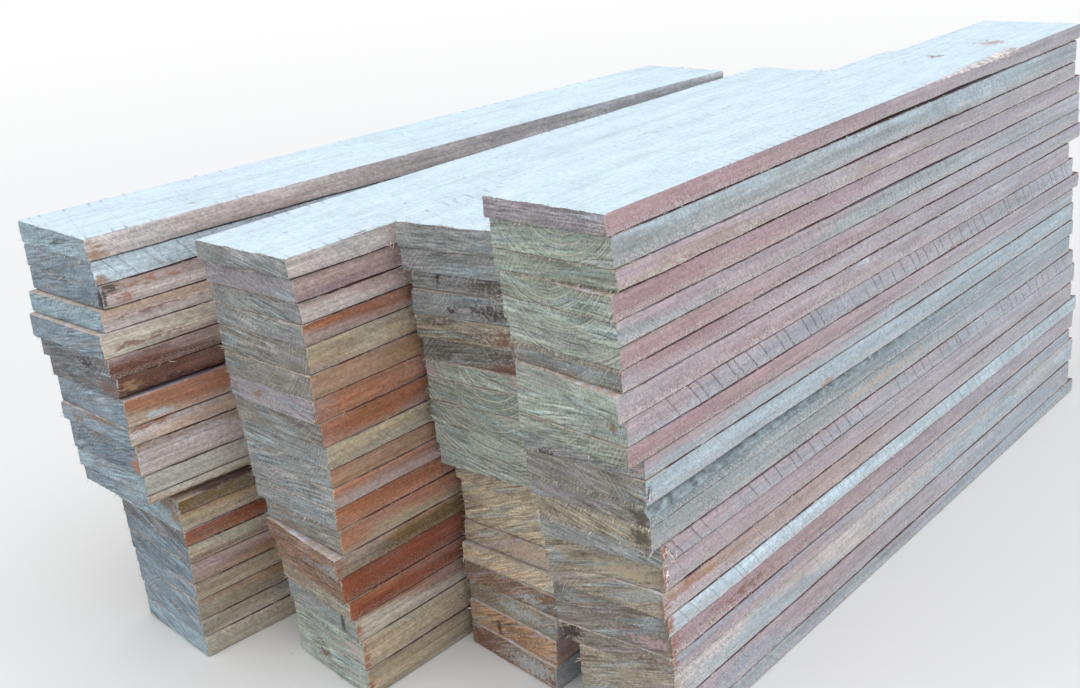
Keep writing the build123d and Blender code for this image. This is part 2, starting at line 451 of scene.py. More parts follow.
# Which way they point, as shares of their reach: out from an arris, along it and up, and out from an end,
# with a lean towards its rim and a scatter aside and up
ARRIS_OUT, ARRIS_ALONG, ARRIS_UP = (0.05, 0.4), (0.6, 1.0), (-0.5, 0.25)
END_OUT, END_LEAN, END_ASIDE, END_UP = (0.4, 1.0), 0.5, 0.4, 0.3

# The stations of a board's mesh: close together round its arrises and ends
END_RIM = np.array([0, 1.0, 3.0, 6.5, 12, 20, 30]) * mm
ARRIS_RIM = np.array([0, 1.2, 4.0]) * mm
ACROSS_STEP = 4 * mm
HIGH_STEP = 5 * mm
ALONG_STEP = 12 * mm
TOP_SKIP = 3
HIDDEN_SKIP = 9

# How far apart vertices still count as one, to how many decimals planes are told apart, and how upright,
# end-facing, square or level a plane has to be to count as such
SAME_SPOT = 0.01 * mm
NORMAL_DECIMALS, OFFSET_DECIMALS = 3, 5
UPRIGHT = 0.01
FACING = 0.9
SQUARE = 0.99999
LEVEL = 0.99

# How often vertices are moved onto the slanted planes in turn, since one may push them past another
TRIM_PASSES = 3

# Each board's tones differ by a little, its ends are darker in cloudy patches, and its grain is cut from
# elsewhere in the log, in metres across, along and up
SHADES = (0.97, 1.03)
LOW_ON_END = 0.9
IN_LOG = ((-5, 5), (0, 50), (-5, 5))

# Fibres take no painted seam shade: they count as this far from an arris, in millimetres, and as this high
# up
FIBRE_ARRIS = 8.0
FIBRE_HEIGHT = 0.9

rng = np.random.default_rng(7)


def linear(name):
    """A named tone as a linear colour."""
    srgb = np.array(TONES[name]) / 255
    return np.where(srgb <= 0.04045, srgb / 12.92, ((srgb + 0.055) / 1.055) ** 2.4)


def islands(mesh):
    """The loose solids of a mesh, each as the rows of its vertices and its faces' planes."""
    points = np.array([v.co for v in mesh.vertices], float).reshape(-1, 3)
    keys = {}
    same = [keys.setdefault(tuple(np.round(p / SAME_SPOT).astype(int)), i) for i, p in enumerate(points)]
    root = list(range(len(points)))

    def find(i):
        while root[i] != i:
            root[i] = root[root[i]]
            i = root[i]
        return i

    for i, j in enumerate(same):
        root[find(i)] = find(j)
    for polygon in mesh.polygons:
        first = find(polygon.vertices[0])
        for v in polygon.vertices[1:]:
            root[find(v)] = first
    groups = {}
    for polygon in mesh.polygons:
        groups.setdefault(find(polygon.vertices[0]), []).append(polygon)
    solids = []
    for polygons in groups.values():
        used = sorted({v for p in polygons for v in p.vertices})
        planes = {}
        for p in polygons:
            normal = np.array(p.normal)
            offset = float(normal @ points[p.vertices[0]])
            key = tuple(np.round(normal, NORMAL_DECIMALS)) + (round(offset, OFFSET_DECIMALS),)
            planes[key] = np.append(normal, offset)
        solids.append((points[used], np.array(list(planes.values()))))
    return solids


def own_axes(points, planes):
    """The board's axes as rows: across it, along it and up."""
    sides = planes[np.abs(planes[:, 2]) < UPRIGHT]
    reach = [np.ptp(points @ plane[:3]) for plane in sides]
    across = sides[int(np.argmin(reach))][:3]
    across = across * np.sign(across[0])
    along = np.array([-across[1], across[0], 0.0])
    return np.array([across, along, (0.0, 0.0, 1.0)])


def outermost(planes, way):
    """The plane that lies furthest out of those that face one way along the board."""
    facing = planes[planes[:, 1] * way > FACING]
    return facing[np.argmax(facing[:, 3])]


def spread(rim, low, high, step):
    """Stations from low to high: close ones near both ends and about one step apart between them."""
    first = [low + r for r in rim]
    last = [high - r for r in reversed(rim)]
    count = max(int(round((last[0] - first[-1]) / step)), 1)
    middle = np.linspace(first[-1], last[0], count + 1)[1:-1]
    return np.array(first + list(middle) + last)


def place_on(plane, u):
    """Where along the board an end's plane lies, at the place u across it."""
    return (plane[3] - plane[0] * u) / plane[1]


def waves(place, kind):
    """A smooth random line through the places."""
    total = np.zeros_like(place)
    lengths = np.geomspace(kind.shortest, kind.longest, WAVE_COUNT)
    for length in lengths:
        total += np.sin(2 * math.pi * (place / length + rng.random())) * length
    return kind.mean + kind.swing * (total / lengths.sum())


Board = namedtuple("Board", "pile row look points planes axes")


def find_boards():
    """Every board of the frame, by course: its pile, its row from the top and its shape."""
    names = sorted(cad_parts)
    courses = {}
    for course, name in enumerate(names):
        present = [pile for pile, looks in enumerate(LOOKS) if len(looks) > course]
        solids = sorted(islands(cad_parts[name].data), key=lambda s: s[0][:, 0].mean())
        courses[name] = []
        for pile, (points, planes) in zip(present, solids, strict=True):
            row = len(LOOKS[pile]) - 1 - course
            axes = own_axes(points, planes)
            courses[name].append(Board(pile, row, LOOKS[pile][row], points, planes, axes))
    return courses


def own(table, board):
    """The entries of a table that are for the board."""
    return [entry for entry in table if (entry.pile, entry.row) == (board.pile, board.row)]


def round_section(columns, nw):
    """The stations round the board's section, with the given columns on its wide faces."""
    last = columns[-1]
    rim = [(i, 0) for i in columns[:-1]] + [(last, j) for j in range(nw - 1)]
    return rim + [(i, nw - 1) for i in columns[:0:-1]] + [(0, j) for j in range(nw - 1, 0, -1)]


def stretch(rim, a, b):
    """The stations of a rim from a to b."""
    start, stop = rim.index(a), rim.index(b)
    return rim[start : stop + 1] if stop >= start else rim[start:] + rim[: stop + 1]


def skin_faces(rims, index, nu, nw):
    """The board's faces and their kinds: bands between its rims, and a cap on each end."""
    faces, kinds = [], []
    for k, (rim, following) in enumerate(zip(rims, rims[1:])):
        coarse = min(rim, following, key=len)
        for a, b in zip(coarse, coarse[1:] + coarse[:1]):
            here = [a, b] if rim is coarse else stretch(rim, a, b)
            there = [a, b] if following is coarse else stretch(following, a, b)
            loop = [index[k + 1, *spot] for spot in there] + [index[k, *spot] for spot in reversed(here)]
            faces.append(loop)
            kinds.append(FACE if a[1] == b[1] else EDGE)
    for ring in (0, len(rims) - 1):
        for y in range(nw - 1):
            for x in range(nu - 1):
                corners = ((x, y), (x + 1, y), (x + 1, y + 1), (x, y + 1))
                square = [index[ring, *corner] for corner in corners]
                faces.append(square if ring == 0 else square[::-1])
                kinds.append(END)
    return faces, np.array(kinds)


def gaping(board, along):
    """How far the seam under the board's right edge gapes, at each place along the board."""
    height = np.zeros_like(along)
    for gape in own(GAPES, board):
        share = np.clip((along / mm - gape.start) / (gape.end - gape.start), 0, 1)
        arch = np.sin(math.pi * share) ** GAPE_POWER
        height += gape.height * mm * arch * waves(along, GAPE_WAVES)
    return height


def trimmed(place, slanted, knot):
    """Moves what lies outside a slanted plane, such as a wane or a lifted underside, onto it, as far as the
    knot that may stop a wane. Gives the new places, and how far a wane moved each one."""
    before_knot = place[:, 1] < knot
    wane = np.zeros(len(place))
    for _ in range(TRIM_PASSES):
        for plane in slanted:
            over = np.maximum(place @ plane[:3] - plane[3], 0) * before_knot
            place = place - over[:, None] * plane[:3]
            if abs(plane[2]) < LEVEL and abs(plane[0]) < LEVEL:
                wane = np.maximum(wane, over)
    return place, wane


Net = namedtuple("Net", "us ws rings k i j faces kinds")


def lay_net(board, low, high):
    """The net of vertices over a board: columns across it, rows up it and rings along it, of which those
    near its ends have every column. k, i and j are each vertex's ring, column and row."""
    us = spread(ARRIS_RIM, low[0], high[0], ACROSS_STEP)
    ws = spread(ARRIS_RIM, low[2], high[2], HIGH_STEP)
    rings = spread(END_RIM, 0.0, high[1] - low[1], ALONG_STEP)
    nu, nw, nf = len(us), len(ws), len(rings)
    skip = TOP_SKIP if board.row == 0 else HIDDEN_SKIP
    corners = len(ARRIS_RIM)
    sparse = [*range(corners), *range(corners + skip // 2, nu - corners, skip), *range(nu - corners, nu)]
    fine_rim, sparse_rim = round_section(list(range(nu)), nw), round_section(sparse, nw)
    fine_rings = len(END_RIM) - 1
    rims = [fine_rim if min(k, nf - 1 - k) < fine_rings else sparse_rim for k in range(nf)]
    spots = [(k, i, j) for k, rim in enumerate(rims) for i, j in rim]
    spots += [(k, i, j) for k in (0, nf - 1) for j in range(1, nw - 1) for i in range(1, nu - 1)]
    index = {spot: n for n, spot in enumerate(spots)}
    faces, kinds = skin_faces(rims, index, nu, nw)
    return Net(us, ws, rings, *np.array(spots).T, faces, kinds)


def outside(net):
    """Which vertices lie on the board's left, right, bottom and top."""
    return net.i == 0, net.i == len(net.us) - 1, net.j == 0, net.j == len(net.ws) - 1


def measured(net):
    """How far each vertex lies from the board's arrises, rims and near end before it is worn."""
    left, right, bottom, top = outside(net)
    from_right, from_left = net.us[-1] - net.us[net.i], net.us[net.i] - net.us[0]
    from_top, from_bottom = net.ws[-1] - net.ws[net.j], net.ws[net.j] - net.ws[0]
    inside = np.minimum(np.minimum(from_right, from_left), np.minimum(from_top, from_bottom))
    arris = np.where(left | right, np.minimum(from_top, from_bottom), inside)
    arris = np.where((bottom | top) & ~(left | right), np.minimum(from_right, from_left), arris)
    return {
        "height": from_bottom / (net.ws[-1] - net.ws[0]),
        "arris": arris / mm,
        "rim": inside / mm,
        "from_near": net.rings[net.k],
        "from_right": from_right,
        "from_bottom": from_bottom,
    }


def worn_sides(board, net, facts, u, w):
    """The places across and up, once the faces stand back for the seams, which gape here and there, and the
    arrises are worn round and chipped."""
    k, i, j = net.k, net.i, net.j
    left, right, bottom, top = outside(net)
    side_wave = SIDE_WAVE * waves(net.rings, SIDE_WAVES)
    seam = SEAM * waves(net.rings, SEAM_WAVES)
    gape = gaping(board, net.rings)
    u = u + np.where(left, side_wave[k], 0) - np.where(right, side_wave[k], 0)
    w = w + np.where(bottom, seam[k], 0) - np.where(top, TOP_SEAM, 0)
    w = w + gape[k] * np.clip(1 - facts["from_right"] / GAPE_REACH, 0, 1) * (1 - facts["height"])
    last_i, last_j = len(net.us) - 1, len(net.ws) - 1
    for a, b in ((0, 0), (last_i, 0), (last_i, last_j), (0, last_j)):
        worn = ARRIS * waves(net.rings, ARRIS_WAVES) + CHIP * rng.random(len(net.rings)) ** CHIP_POWER
        toward_u = 1 if a == 0 else -1
        toward_w = 1 if b == 0 else -1
        here = (i == a) & (j == b)
        u = u + np.where(here, toward_u * worn[k] * ON_ARRIS, 0)
        w = w + np.where(here, toward_w * worn[k] * ON_ARRIS, 0)
        w = w + np.where((np.abs(i - a) == 1) & (j == b), toward_w * worn[k] * BESIDE_ARRIS, 0)
        u = u + np.where((i == a) & (np.abs(j - b) == 1), toward_u * worn[k] * BESIDE_ARRIS, 0)
    return u, w


def end_relief(us, nw):
    """How far an end is torn back at each column and row: most along its upper and lower rims."""
    nu = len(us)
    tear = TEAR * np.clip(waves(us, TEAR_WAVES) + TEAR_SCATTER * rng.random(nu), 0, 1)
    drop = TEAR * np.clip(waves(us, DROP_WAVES) + TEAR_SCATTER * rng.random(nu), 0, 1)
    relief = END_RELIEF * (0.5 * rng.random(nw)[None, :] + 0.5 * rng.random((nu, nw)))
    relief[:, -1] += tear
    relief[:, -2] += SECOND_UPPER * tear
    relief[:, 0] += drop
    relief[:, 1] += SECOND_LOWER * drop
    relief[[0, -1]] += CHIP * rng.random((2, nw))
    return relief


def torn_ends(net, u, v, w):
    """The places once the ends are torn back and ragged."""
    left, right, bottom, top = outside(net)
    last = len(net.rings) - 1
    from_near = net.rings[net.k]
    for end, toward_v in ((0, 1), (last, -1)):
        relief = end_relief(net.us, len(net.ws))
        from_end = from_near if end == 0 else net.rings[-1] - from_near
        v = v + toward_v * relief[net.i, net.j] * np.clip(1 - from_end / TEAR_REACH, 0, 1)
        loose = waves(net.us, RAGGED_WAVES) + RAGGED_SCATTER * rng.random((2, len(net.us)))
        ragged = RAGGED * np.clip(loose, 0, 1)
        torn_run = np.clip(1 - from_end / RAGGED_REACH, 0, 1)
        w = w + torn_run * (np.where(bottom, ragged[0][net.i], 0) - np.where(top, ragged[1][net.i], 0))
        rim = net.k == end
        u = u + np.where(rim & left, ARRIS * RIM_SIDES, 0) - np.where(rim & right, ARRIS * RIM_SIDES, 0)
        w = w + np.where(rim & bottom, ARRIS * RIM_BOTTOM, 0) - np.where(rim & top, ARRIS * RIM_TOP, 0)
    return u, v, w


Shape = namedtuple("Shape", "place net facts low high ends slants")


def rough_board(board):
    """The board's vertices in its own axes, with their net and facts, and its bounds and planes."""
    local = board.points @ board.axes.T
    planes = board.planes.copy()
    planes[:, :3] = planes[:, :3] @ board.axes.T
    near, far = outermost(planes, -1), outermost(planes, 1)
    low, high = local.min(0), local.max(0)
    net = lay_net(board, low, high)
    facts = measured(net)
    u, w = net.us[net.i], net.ws[net.j]
    v = place_on(near, u) + net.rings[net.k] / (high[1] - low[1]) * (place_on(far, u) - place_on(near, u))
    u, w = worn_sides(board, net, facts, u, w)
    u, v, w = torn_ends(net, u, v, w)
    knots = [-plane[3] for plane in planes if plane[1] < -FACING and plane[3] < near[3] - 2 * END_RIM[-1]]
    slanted = planes[(np.abs(planes[:, 1]) < FACING) & (np.abs(planes[:, :3]).max(1) < SQUARE)]
    slants = slanted, min(knots, default=math.inf)
    place, wane = trimmed(np.stack([u, v, w], 1), *slants)
    facts["wane"] = wane / mm
    return Shape(place, net, facts, low, high, (near, far), slants)


def arris_fibres(board, low, high):
    """The roots and reaches of loose fibres along the board's arrises."""
    length = high[1] - low[1]
    roots, reaches = [], []
    for u, way in ((low[0], -1), (high[0], 1)):
        for w, share in zip((low[2] + SEAM, high[2]), ARRIS_SHARES):
            torn = FEWEST + MORE_WHERE_TORN * TORN[board.pile]
            count = int(FIBRES_PER_METRE * length * share * torn)
            v = low[1] + length * rng.random(count)
            out = way * rng.uniform(*ARRIS_OUT, count)
            along = rng.choice([-1, 1], count) * rng.uniform(*ARRIS_ALONG, count)
            up = rng.uniform(*ARRIS_UP, count)
            roots.append(np.stack([np.full(count, u), v, np.full(count, w)], 1))
            reaches.append(np.stack([out, along, up], 1) * rng.uniform(*ARRIS_FIBRES, (count, 1)) * mm)
    return roots, reaches


def end_fibres(board, low, high, plane, way):
    """The roots and reaches of loose fibres round one end, the near one where way is -1."""
    fringe = FIBRES_PER_FRINGE if way < 0 and (board.pile, board.row) in FRINGED else 0
    count = FIBRES_PER_END + fringe
    rim = rng.choice(4, count, p=RIM_SHARES)
    rim[FIBRES_PER_END:] = LOWER
    spot = low + rng.random(count)[:, None] * (high - low)
    u = np.select([rim == LEFT, rim == RIGHT], [low[0], high[0]], spot[:, 0])
    w = np.select([rim == LOWER, rim == UPPER], [low[2] + SEAM, high[2]], spot[:, 2])
    lean = np.select([rim == LEFT, rim == RIGHT], [-END_LEAN, END_LEAN], 0.0)
    aside = lean + rng.uniform(-END_ASIDE, END_ASIDE, count)
    up = np.where(rim == LOWER, -END_LEAN, 0.0) + rng.uniform(-END_UP, END_UP, count)
    root = np.stack([u, place_on(plane, u) - way * END_ROOT, w], 1)
    reach = np.stack([aside, way * rng.uniform(*END_OUT, count), up], 1)
    return root, reach * rng.uniform(*END_FIBRES, (count, 1)) * mm


def splinters(board, low, high, near):
    """The roots and reaches of the board's long splinters."""
    corner = place_on(near, high[0])
    roots = [(high[0], corner + s.along * mm, low[2] + s.high * mm) for s in own(SPLINTERS, board)]
    reaches = [(SPLINTER_STANDS_OUT, s.reach_along * mm, -s.reach_down * mm) for s in own(SPLINTERS, board)]
    return np.reshape(roots, (-1, 3)), np.reshape(reaches, (-1, 3))


def slivers(board, shape):
    """The board's fibres and splinters as thin pointed slivers in its own axes: their points, four each,
    their faces, and how many of them are splinters."""
    roots, reaches = arris_fibres(board, shape.low, shape.high)
    for plane, way in zip(shape.ends, (-1, 1)):
        root, reach = end_fibres(board, shape.low, shape.high, plane, way)
        roots.append(root)
        reaches.append(reach)
    root, reach = splinters(board, shape.low, shape.high, shape.ends[0])
    long_ones = len(root)
    root, _ = trimmed(np.concatenate([*roots, root]), *shape.slants)
    reach = np.concatenate([*reaches, reach])
    count = len(root)
    thick = rng.uniform(*FIBRE_THICKNESS, (count, 1)) * mm
    corners = [root + thick * rng.uniform(-1, 1, (count, 3)) - ROOT_SHARE * reach for _ in range(3)]
    for n in range(count - long_ones, count):
        out = np.array([0.5 * SPLINTER_WIDTH, 0, 0])
        aside = np.cross(out, reach[n]) / np.linalg.norm(reach[n])
        for corner, offset in zip(corners, (aside, -aside, out)):
            corner[n] = root[n] + offset
    points = np.stack([*corners, root + reach], 1).reshape(-1, 3)
    first = 4 * np.arange(count)[:, None]
    faces = np.concatenate([first + np.array(f) for f in ((0, 1, 2), (0, 3, 1), (1, 3, 2), (2, 3, 0))])
    return points, faces, long_ones


def stained(board, kind, facts):
    """How strongly, and in which tone, stains cover the vertices of the board's faces of one kind."""
    strength = np.zeros(len(facts["height"]))
    tone = np.tile(linear("clay"), (len(strength), 1))
    across = facts["from_right"] if kind == END else facts["from_near"]
    up = facts["from_right"] if kind == FACE else facts["from_bottom"]
    for stain in own(STAINS[kind], board):
        aside = (across / mm - stain.along) / stain.reach_along
        above = (up / mm - stain.high) / stain.reach_high
        here = stain.strength * np.exp(-(aside**2) - above**2)
        tone[here > strength] = linear(stain.tone)
        strength = np.maximum(strength, here)
    return strength, tone


def rise(board):
    """How much the saw scratches on the board's ends rise to the right."""
    rises = RISES[board.pile]
    return rises[max(row for row in rises if row <= board.row)] + rng.uniform(-RISE_SCATTER, RISE_SCATTER)


def heart(board, low, high):
    """The middle of the arcs on the board's ends, in its own axes, from its lower left corner."""
    if (board.pile, board.row) in HEARTS:
        from_right, up = HEARTS[board.pile, board.row]
        return np.array([high[0] - low[0] - from_right * mm, 0, up * mm])
    return np.array([rng.uniform(*HEART_ACROSS), 0, rng.choice([-1, 1]) * rng.uniform(*HEART_AWAY)])


def painted(board, shape):
    """The board's upper, lower and stain tones at each corner of its faces, how strong the stains are there,
    and which corners are those of a wide face."""
    look, facts, vertex = board.look, shape.facts, np.concatenate(shape.net.faces)
    kinds = np.repeat(shape.net.kinds, [len(face) for face in shape.net.faces])
    shade = rng.uniform(*SHADES)
    upper, lower, end = linear(look.upper) * shade, linear(look.lower) * shade, linear(look.end) * shade
    on_top = board.row == 0 or (board.pile, board.row) == (0, 1)
    top = linear("white") if on_top else linear("peel")
    upper_tone = np.array([top, upper, end])[kinds]
    lower_tone = np.array([top, lower, LOW_ON_END * end])[kinds]
    # Painted shade: past the near end, the ledge under the board above takes a dark tone
    ledge = (facts["from_right"] < LEDGE) & (facts["from_near"] > LEDGE_RUN) & (not on_top)
    in_shade = ledge[vertex] & (kinds == FACE)
    upper_tone[in_shade] = lower_tone[in_shade] = linear("painted ledge shade")
    width, length, _ = shape.high - shape.low
    seen = {
        EDGE: facts["from_right"] < 0.5 * width,
        END: facts["from_near"] < 0.5 * length,
        FACE: facts["height"] > 0.5,
    }
    stain = np.zeros(len(vertex))
    stain_tone = np.zeros((len(vertex), 3))
    for kind, half in seen.items():
        strength, tone = stained(board, kind, facts)
        here = kinds == kind
        stain[here] = (strength * half)[vertex[here]]
        stain_tone[here] = tone[vertex[here]]
    return upper_tone, lower_tone, stain_tone, stain, kinds == FACE


def board_mesh(board):
    """One detailed board as arrays, moved into the frame of the CAD model."""
    shape = rough_board(board)
    hairs, hair_faces, long_ones = slivers(board, shape)
    *tones, stain, wide = painted(board, shape)
    hair_corners = hair_faces.size
    hair_tones = np.tile(linear("straw"), (hair_corners, 1))
    hair_tones[hair_faces.ravel() // 4 >= len(hairs) // 4 - long_ones] = linear("fresh")
    upper_tone, lower_tone, stain_tone = (np.concatenate([tone, hair_tones]) for tone in tones)
    shift = np.array([rng.uniform(*reach) for reach in IN_LOG])
    count, more = len(shape.place), len(hairs)
    places = np.concatenate([shape.place, hairs])
    facts, look = shape.facts, board.look

    def both(value, hair_value=0.0):
        """The board's own value or values, then one for all the vertices of its fibres."""
        return np.concatenate([np.broadcast_to(value, count), np.full(more, hair_value)])

    return {
        "points": places @ board.axes,
        "faces": shape.net.faces,
        "triangles": hair_faces + count,
        "material": np.append(shape.net.kinds == END, np.zeros(len(hair_faces), int)),
        "grain": places - shape.low + shift,
        "pith": np.tile(shift + heart(board, shape.low, shape.high), (count + more, 1)),
        "height": both(facts["height"], FIBRE_HEIGHT),
        "arris": both(facts["arris"], FIBRE_ARRIS),
        "rim": both(facts["rim"], FIBRE_ARRIS),
        "from_near": both(facts["from_near"]),
        "wane": both(facts["wane"]),
        "marks": both(look.marks),
        "rings": both(look.rings),
        "rise": both(rise(board)),
        "torn": both(TORN[board.pile]),
        "upper_tone": upper_tone,
        "lower_tone": lower_tone,
        "stain_tone": stain_tone,
        "skin_tone": np.tile(linear(look.skin), (len(stain) + hair_corners, 1)),
        "stain": np.append(stain, np.zeros(hair_corners)),
        "wide": np.append(wide, np.zeros(hair_corners)),
    }


# What the materials read from a mesh: the kind of attribute, where it lies and what its values are called
LAYERS = dict.fromkeys(
    ("height", "arris", "rim", "from_near", "wane", "marks", "rings", "rise", "torn"),
    ("FLOAT", "POINT", "value"),
)
LAYERS |= dict.fromkeys(("stain", "wide"), ("FLOAT", "CORNER", "value"))
LAYERS |= dict.fromkeys(("grain", "pith"), ("FLOAT_VECTOR", "POINT", "vector"))
TONED = ("upper_tone", "lower_tone", "stain_tone", "skin_tone")
LAYERS |= dict.fromkeys(TONED, ("FLOAT_COLOR", "CORNER", "color"))


def make_piece(name, boards, materials):
    """One mesh object of several boards, none of it outside the CAD model's box."""
    faces, start = [], 0
    for b in boards:
        faces += [[v + start for v in face] for face in b["faces"]]
        faces += (b["triangles"] + start).tolist()
        start += len(b["points"])
    points = np.concatenate([b["points"] for b in boards])
    low, high = np.array(cad_box[0]), np.array(cad_box[1])
    points = np.clip(points, low, high)
    mesh = bpy.data.meshes.new(name)
    mesh.from_pydata(points.tolist(), [], faces)
    for m in materials:
        mesh.materials.append(m)
    mesh.polygons.foreach_set("material_index", np.concatenate([b["material"] for b in boards]))
    for layer_name, (kind, domain, field) in LAYERS.items():
        values = np.concatenate([b[layer_name] for b in boards])
        if layer_name in TONED:
            values = np.append(values, np.ones((len(values), 1)), axis=1)
        layer = mesh.attributes.new(layer_name, kind, domain)
        layer.data.foreach_set(field, values.astype(np.float32).ravel())
    mesh.update()
    piece = bpy.data.objects.new(name, mesh)
    bpy.context.scene.collection.objects.link(piece)
    return piece


# Noises of the wood: about how many lumps they have in a metre of each coordinate, then their detail and
# roughness. Most are read across, along and up the board, but bands and arcs at the distance from the middle
# of the rings, nap and hair along the saw marks, and stripes, tints and scratches along the scratches.
Noise = namedtuple("Noise", "first second third detail roughness", defaults=(2.0, 0.5))
NOISES = {
    "bend": Noise(9, 1.3, 9),
    "stain": Noise(240, 70, 260, 4, 0.7),
    "mottle": Noise(45, 14, 70, 3, 0.6),
    "bands": Noise(190, 2.2, 1, 4, 0.65),
    "streaks": Noise(520, 7, 520, 3, 0.7),
    "grit": Noise(300, 140, 300, 3, 0.7),
    "nap": Noise(420, 90, 300, 2, 0.6),
    "patches": Noise(6, 4, 14),
    "meander": Noise(2, 3.5, 2),
    "marks": Noise(3, 9, 3, 1),
    "toothed": Noise(12, 6, 12, 1),
    "specks": Noise(130, 50, 130, 1),
    "ragged seam": Noise(150, 60, 150, 4, 0.7),
    "open seam": Noise(10, 11, 10),
    "hair": Noise(600, 210, 300, 2, 0.6),
    "skin": Noise(240, 70, 240, 4, 0.7),
    "scallops": Noise(30, 75, 30, 2, 0.6),
    "clouds": Noise(14, 8, 26, 3),
    "end mottle": Noise(38, 20, 60, 4, 0.65),
    "stripes": Noise(9, 1, 170, 4, 0.65),
    "tints": Noise(9, 1, 75),
    "scratches": Noise(30, 1, 400, 2, 0.6),
    "end grit": Noise(380, 380, 380, 3, 0.7),
    "calm": Noise(11, 6, 24),
    "arcs": Noise(430, 1, 1, 0),
    "ragged rim": Noise(190, 190, 190, 4, 0.7),
    "torn rim": Noise(26, 26, 26),
}

# From where to where a noise changes a tone, and how unevenly the saw marks are spaced
NOISE_RANGE = (0.3, 0.7)
UNEVENNESS = 0.7

# Coats of other tones, and how strongly they cover, as do stains and bark, whose tones differ by board
COATS = {
    "cold": ("ice", 0.24),
    "warm": ("blush", 0.3),
    # Painted light: a bluish sheen of skylight that grows towards the far end
    "far": ("pale blue", 0.5),
    "bands": ("lavender", 0.5),
    "ticks": ("slate", 0.6),
    "specks": ("clay", 0.6),
    # Painted shade in the seams where two boards meet
    "seam": ("painted seam shade", 0.8),
    # Painted shade on the undersides of the boards
    "underside": ("char", 0.9),
    "purple": ("mauve", 0.4),
    "blue": ("steel", 0.4),
    "brown": ("drab", 0.2),
    "arcs": ("straw", 0.6),
    # Pale torn fibres with a painted highlight along the upper rims of the ends
    "pale rim with painted highlight": ("straw", 0.75),
    # Painted shade in the gaps along the lower rims of the ends
    "painted rim shade": ("char", 0.7),
}
STAIN_SHARE, BARK_SHARE = 0.85, 0.85

# Where things set in and where they are full, each on the value that it follows: a noise, a height from 0 to
# 1, metres from the near end, millimetres of wane or from an arris, or a share of the saw marks' spacing
RAMPS = {
    "upper tone": (0.2, 0.8),
    "cold": (0.52, 0.66),
    "warm": (0.48, 0.34),
    "far": (0.02, 1.0),
    "bands": (0.5, 0.62),
    "brushed": (0.35, 0.65),
    "stain": (0.25, 0.65),
    "marks": (0.3, 0.5),
    "kerf": (0.075, 0.025),
    "ripples": (0.3, 0.05),
    "toothed": (0.5, 0.6),
    "by arris": (16.0, 6.0),
    "ticks": (0.1, 0.03),
    "specks": (0.78, 0.82),
    "bare": (0.1, 0.5),
    "underside": (0.1, 0.02),
    "low down": (0.55, 0.05),
    "fuzz": (0.68, 0.77),
    "bark": (1.2, 2.0),
    "end tone": (0.4, 0.6),
    "purple": (0.52, 0.66),
    "blue": (0.47, 0.34),
    "brown": (0.54, 0.7),
    "streaky": (0.36, 0.6),
    "arcs shown": (0.36, 0.56),
    "light arcs": (0.54, 0.62),
    "dark arcs": (0.46, 0.36),
    "upper part": (0.5, 0.7),
    "lower part": (0.5, 0.3),
}

# How far things reach from an arris or rim, in millimetres: the slope and start with which a ragged and a
# broad noise draw them out, and how far they reach at least. Up to FULL_REACH they are full.
Reach = namedtuple("Reach", "ragged broad least")
REACHES = {
    "seam": Reach((5.0, -2.6), (3.2, -0.9), 0.2),
    "pale rim with painted highlight": Reach((9.0, -4.2), (7.0, -2.2), 0.3),
    "painted rim shade": Reach((4.0, -2.0), (-5.0, 2.9), 0.2),
}
FULL_REACH = 0.1

# How much lighter and darker each noise makes the wood and its ends. Pairs are a slope and a start: the nap
# grows with how brushed and how torn the wood is, the ends' stripes and scratches with how streaky they are,
# and the contrast of a long edge falls with how torn it is. That of a wide face is always the same.
WOOD_CONTRAST = {"bands": 0.26, "streaks": 0.2, "grit": 0.27, "mottle": 0.16}
END_CONTRAST = {"end grit": 0.4, "end mottle": 0.16, "clouds": 0.2}
NAP_BY_BRUSHED, NAP_BY_TORN = (0.26, 0.06), (0.7, 0.3)
STRIPES_BY_STREAKY, SCRATCHES_BY_STREAKY = (0.26, 0.16), (0.42, 0.2)
EDGE_BY_TORN, WIDE_DEPTH = (-0.45, 1.17), 0.48
BARK_CONTRAST, SCALLOPS_CONTRAST = 0.65, 0.42

# How far noises bend the rings, the arcs on the ends, the saw marks and the scratches, in metres, and how
# far they shift the line between the tones, as a share of the height, and the rims of stains
RING_BEND, ARC_BEND = 0.022, 0.008
MARK_BEND = 0.006
SCRATCH_BEND, FINE_SCRATCH_BEND = 0.007, 0.0016
FINE_SWING, BROAD_SWING, STAIN_SWING = 0.7, 3.0, 2.2

# How much the saw marks lean up a long edge, up a wide face and across the board, how many coarse and fine
# ones there are in a metre, how much they and the arcs darken the wood, and how the fine ones grow with the
# coarse ones
EDGE_LEAN, WIDE_LEAN, ACROSS_LEAN = 0.75, 0.1, 0.3
MARKS_PER_METRE, RIPPLES_PER_METRE = 42.0, 210.0
MARK_DARKENS, RIPPLE_DARKENS, ARC_DARKENS = -0.42, -0.12, -0.34
RIPPLES_BY_MARKS = (0.5, 0.2)

# Fuzz: how much more of it lies low on the edges and in patches, how much straw is in its tone, and how it
# grows with how torn the wood is. A noise makes the rim of the bark ragged.
LOW_FUZZ, PATCHY_FUZZ = 0.13, 0.2
FUZZ_STRAW = 0.4
FUZZ_BY_TORN = (0.5, 0.22)
BARK_NOISE = 2.0

# Roughness, which grows with the mottle, and relief: its depth, and each field's share of it
WOOD_ROUGHNESS, END_ROUGHNESS = (0.2, 0.74), (0.2, 0.75)
WOOD_DEPTH, END_DEPTH = 0.7 * mm, 1.0 * mm
WOOD_BUMPS = {"grit": 0.8, "streaks": 0.5, "kerf": -0.8, "fuzz": 0.5, "nap": 0.6, "mottle": 1.2, "bark": 3.0}
END_BUMPS = {"end grit": 0.5, "scratches": 1.0, "stripes": 0.8, "light arcs": 0.5, "pale rim with painted highlight": 0.8}

